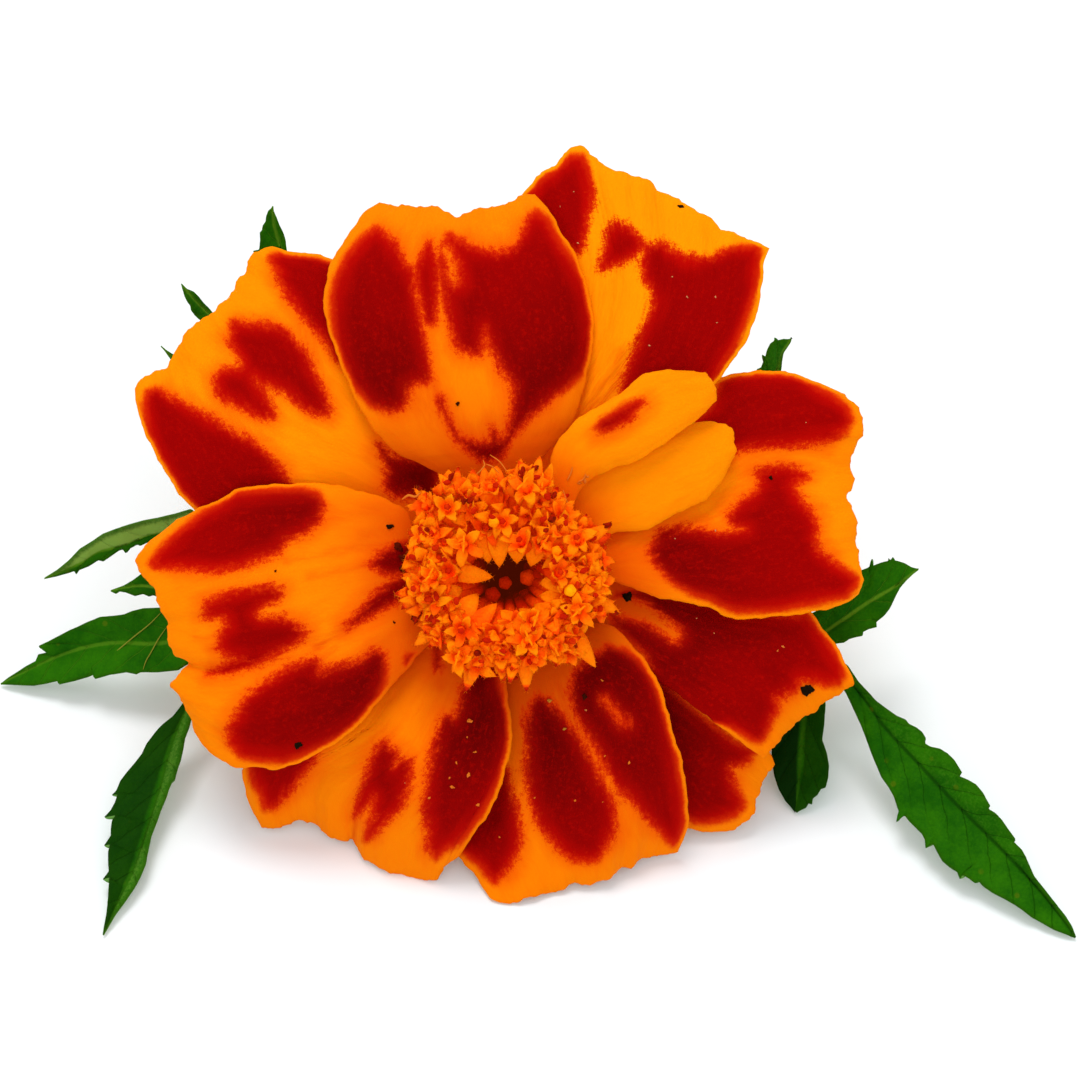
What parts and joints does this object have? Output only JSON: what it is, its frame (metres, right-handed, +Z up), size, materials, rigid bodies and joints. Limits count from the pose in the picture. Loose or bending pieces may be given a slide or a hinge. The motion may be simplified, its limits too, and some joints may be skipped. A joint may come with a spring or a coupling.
{
  "type": "marigold flower",
  "caption": "Picked French marigold flower: broad layered red and orange petals round a domed disc, on a short leafy stem, lying face up at a slant.",
  "frame": {"origin": "on the table, under the middle of the whole flower's box", "axes": "+Z up from the table; -Y towards the side that the bloom's face is turned to, which looks up from there at 50 degrees; +X to the right of someone who looks at the face"},
  "size_m": [0.0832, 0.0638, 0.0383],
  "materials": {
    "petal": "matte",
    "small_petal": "matte",
    "disc": "matte",
    "involucre": "matte",
    "stem": "satin",
    "leaf": "satin"
  },
  "bodies": {
    "root": {"petal_top": "petal", "petal_upper_right": "petal", "petal_right": "petal", "petal_lower_right": "petal", "petal_low_right": "petal", "petal_bottom_right": "petal", "petal_bottom_left": "petal", "petal_left": "petal", "petal_upper_left": "petal", "petal_small_upper": "small_petal", "petal_small_lower": "small_petal", "disc_florets": "disc", "involucre": "involucre", "stem": "stem", "leaf_right": "leaf", "leaf_left": "leaf", "leaf_back": "leaf"}
  },
  "joints": []
}
